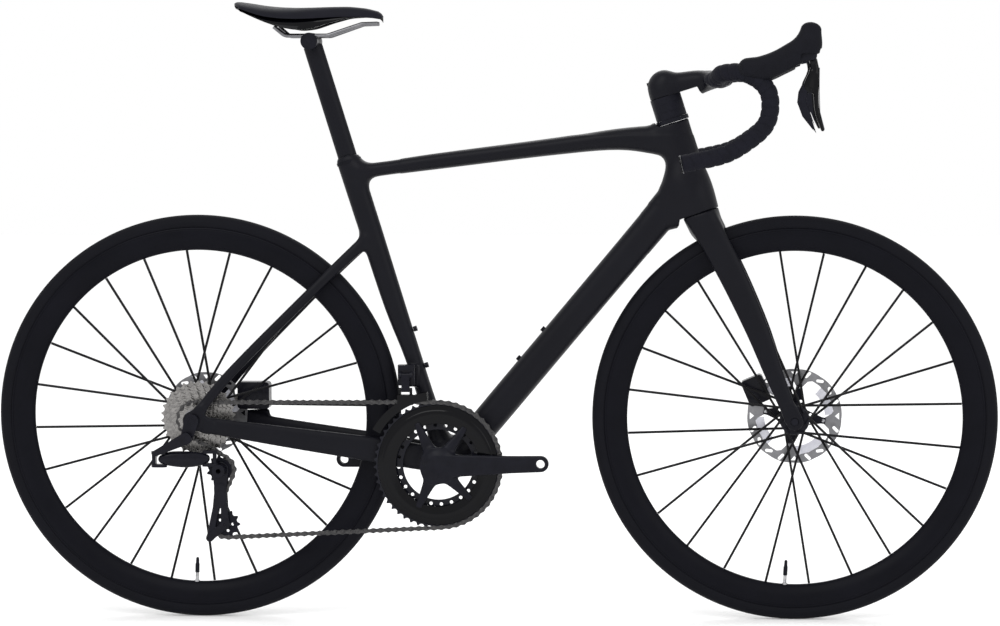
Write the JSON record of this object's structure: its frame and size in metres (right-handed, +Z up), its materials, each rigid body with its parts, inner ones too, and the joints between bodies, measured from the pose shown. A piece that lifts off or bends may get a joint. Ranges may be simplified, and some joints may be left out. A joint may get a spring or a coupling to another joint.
{
  "type": "road bicycle",
  "caption": "Black carbon road bicycle with disc brakes, drop bar, aero one-piece stem, 2 by 12 gears, slim saddle and no pedals.",
  "frame": {"origin": "on the ground, halfway between the two axles, in the wheels' plane", "axes": "+X forwards, +Y to the bicycle's left, +Z up; the drive side is -Y"},
  "size_m": [1.677, 0.4438, 1.0306],
  "materials": {
    "carbon_black": "matt clear coat over black carbon",
    "anodised_black": "black anodised",
    "rubber_black": "moulded rubber",
    "saddle_skin": "smooth synthetic skin",
    "plastic_black": "moulded black plastic",
    "rail_metal": "satin",
    "bearing_steel": "ground",
    "bolt_black": "black oxide",
    "caliper_black": "black anodised, satin",
    "pad_steel": "sintered pad on a steel plate",
    "derailleur_black": "semi-gloss black",
    "gloss_black": "gloss black",
    "chain_steel": "plated",
    "tape_black": "wound cushioned tape",
    "cassette_steel": "nickel plated",
    "ring_black": "black anodised, gloss face",
    "tyre_rubber": "black tread and casing",
    "rim_carbon": "satin black carbon",
    "spoke_steel": "black",
    "valve_metal": "turned",
    "rotor_steel": "ground braking ring, black arms"
  },
  "bodies": {
    "frame": {"frame": "carbon_black", "hanger": "anodised_black", "seatpost": "carbon_black", "seatpost_cover": "rubber_black", "saddle_cover": "saddle_skin", "saddle_shell": "plastic_black", "saddle_rails": "rail_metal", "saddle_clamp": "anodised_black", "bottom_bracket": "anodised_black", "headset_bearings": "bearing_steel", "bottle_bolts": "bolt_black", "rear_axle": "anodised_black", "rear_caliper": "caliper_black", "front_derailleur": "derailleur_black", "chain": "chain_steel", "rear_derailleur_mount": "derailleur_black"},
    "steering": {"fork": "carbon_black", "headset_spacers": "plastic_black", "handlebar": "carbon_black", "stem_bolts": "bolt_black", "bar_tape": "tape_black", "bar_plugs": "gloss_black", "lever_brackets": "plastic_black", "lever_hoods": "rubber_black", "front_caliper": "caliper_black", "front_axle": "anodised_black"},
    "front_wheel": {"front_tyre": "tyre_rubber", "front_rim": "rim_carbon", "front_spokes": "spoke_steel", "front_valve": "valve_metal", "front_hub": "anodised_black", "front_rotor": "rotor_steel"},
    "rear_wheel": {"rear_tyre": "tyre_rubber", "rear_rim": "rim_carbon", "rear_spokes": "spoke_steel", "rear_valve": "valve_metal", "rear_hub": "anodised_black", "rear_rotor": "rotor_steel"},
    "cassette": {"cassette": "cassette_steel"},
    "crankset": {"drive_crank": "gloss_black", "left_crank": "gloss_black", "chainrings": "ring_black"},
    "front_mech_link": {"front_derailleur_link": "derailleur_black"},
    "front_mech_cage": {"front_derailleur_cage": "gloss_black"},
    "rear_mech_link": {"rear_derailleur_link": "derailleur_black"},
    "rear_mech_knuckle": {"rear_derailleur_knuckle": "derailleur_black"},
    "rear_mech_cage": {"rear_derailleur_cage": "gloss_black"},
    "guide_pulley": {"guide_pulley": "plastic_black"},
    "tension_pulley": {"tension_pulley": "plastic_black"},
    "left_lever": {"left_brake_lever": "gloss_black"},
    "right_lever": {"right_brake_lever": "gloss_black"},
    "left_upshift": {"left_upshift_button": "plastic_black"},
    "left_downshift": {"left_downshift_button": "plastic_black"},
    "right_upshift": {"right_upshift_button": "plastic_black"},
    "right_downshift": {"right_downshift_button": "plastic_black"},
    "front_pad_l": {"front_pad_left": "pad_steel"},
    "front_pad_r": {"front_pad_right": "pad_steel"},
    "rear_pad_l": {"rear_pad_left": "pad_steel"},
    "rear_pad_r": {"rear_pad_right": "pad_steel"}
  },
  "joints": [
    {"name": "steering", "type": "hinge", "parent": "frame", "child": "steering", "pos_m": [0.285, 0, 0.868], "axis": [-0.3007, 0, 0.9537], "range_deg": [-60, 60]},
    {"name": "front_wheel_spin", "type": "hinge", "parent": "steering", "child": "front_wheel", "pos_m": [0.4995, 0, 0.339], "axis": [0, 1, 0], "continuous": true},
    {"name": "rear_wheel_spin", "type": "hinge", "parent": "frame", "child": "rear_wheel", "pos_m": [-0.4995, 0, 0.339], "axis": [0, 1, 0], "continuous": true},
    {"name": "crank_spin", "type": "hinge", "parent": "frame", "child": "crankset", "pos_m": [-0.094, 0, 0.264], "axis": [0, 1, 0], "continuous": true, "deforming": ["chain"]},
    {"name": "cassette_spin", "type": "hinge", "parent": "frame", "child": "cassette", "pos_m": [-0.4995, 0, 0.339], "axis": [0, 1, 0], "continuous": true},
    {"name": "front_mech_shift", "type": "hinge", "parent": "frame", "child": "front_mech_link", "pos_m": [-0.147, -0.047, 0.414], "axis": [1, 0, 0], "range_deg": [0, 17]},
    {"name": "front_mech_level", "type": "hinge", "parent": "front_mech_link", "child": "front_mech_cage", "pos_m": [-0.147, -0.0505, 0.389], "axis": [1, 0, 0], "range_deg": [-17, 17]},
    {"name": "rear_mech_shift", "type": "hinge", "parent": "frame", "child": "rear_mech_link", "pos_m": [-0.548, -0.084, 0.276], "axis": [0, 0, 1], "range_deg": [-8.5, 23]},
    {"name": "rear_mech_level", "type": "hinge", "parent": "rear_mech_link", "child": "rear_mech_knuckle", "pos_m": [-0.478, -0.07, 0.276], "axis": [0, 0, 1], "range_deg": [-23, 23]},
    {"name": "cage_tension", "type": "hinge", "parent": "rear_mech_knuckle", "child": "rear_mech_cage", "pos_m": [-0.4575, 0, 0.255], "axis": [0, 1, 0], "range_deg": [-20, 25], "stiffness_Nm_per_rad": 0.6},
    {"name": "guide_pulley_spin", "type": "hinge", "parent": "rear_mech_cage", "child": "guide_pulley", "pos_m": [-0.4575, 0, 0.255], "axis": [0, 1, 0], "continuous": true},
    {"name": "tension_pulley_spin", "type": "hinge", "parent": "rear_mech_cage", "child": "tension_pulley", "pos_m": [-0.45043, 0, 0.16307], "axis": [0, 1, 0], "continuous": true},
    {"name": "left_brake", "type": "hinge", "parent": "steering", "child": "left_lever", "pos_m": [0.524, 0.2, 0.9345], "axis": [0, 1, 0], "range_deg": [0, 25], "stiffness_Nm_per_rad": 0.4},
    {"name": "left_upshift_press", "type": "slide", "parent": "left_lever", "child": "left_upshift", "axis": [0, -1, 0], "range_m": [0, 0.002], "stiffness_N_per_m": 400},
    {"name": "left_downshift_press", "type": "slide", "parent": "left_lever", "child": "left_downshift", "axis": [0, -1, 0], "range_m": [0, 0.002], "stiffness_N_per_m": 400},
    {"name": "right_brake", "type": "hinge", "parent": "steering", "child": "right_lever", "pos_m": [0.524, -0.2, 0.9345], "axis": [0, 1, 0], "range_deg": [0, 25], "stiffness_Nm_per_rad": 0.4},
    {"name": "right_upshift_press", "type": "slide", "parent": "right_lever", "child": "right_upshift", "axis": [0, 1, 0], "range_m": [0, 0.002], "stiffness_N_per_m": 400},
    {"name": "right_downshift_press", "type": "slide", "parent": "right_lever", "child": "right_downshift", "axis": [0, 1, 0], "range_m": [0, 0.002], "stiffness_N_per_m": 400},
    {"name": "front_pad_l_squeeze", "type": "slide", "parent": "steering", "child": "front_pad_l", "axis": [0, -1, 0], "range_m": [0, 0.0003]},
    {"name": "front_pad_r_squeeze", "type": "slide", "parent": "steering", "child": "front_pad_r", "axis": [0, 1, 0], "range_m": [0, 0.0003]},
    {"name": "rear_pad_l_squeeze", "type": "slide", "parent": "frame", "child": "rear_pad_l", "axis": [0, -1, 0], "range_m": [0, 0.0003]},
    {"name": "rear_pad_r_squeeze", "type": "slide", "parent": "frame", "child": "rear_pad_r", "axis": [0, 1, 0], "range_m": [0, 0.0003]}
  ],
  "couplings": [
    {"joint": "cassette_spin", "follows": "crank_spin", "ratio": 3.7143},
    {"joint": "guide_pulley_spin", "follows": "crank_spin", "ratio": -4.7273},
    {"joint": "tension_pulley_spin", "follows": "crank_spin", "ratio": 4.7273},
    {"joint": "front_mech_level", "follows": "front_mech_shift", "ratio": -1},
    {"joint": "rear_mech_level", "follows": "rear_mech_shift", "ratio": -1},
    {"joint": "front_pad_l_squeeze", "follows": "right_brake", "m_per_rad": 0.00068617},
    {"joint": "front_pad_r_squeeze", "follows": "right_brake", "m_per_rad": 0.00068617},
    {"joint": "rear_pad_l_squeeze", "follows": "left_brake", "m_per_rad": 0.00068617},
    {"joint": "rear_pad_r_squeeze", "follows": "left_brake", "m_per_rad": 0.00068617}
  ]
}
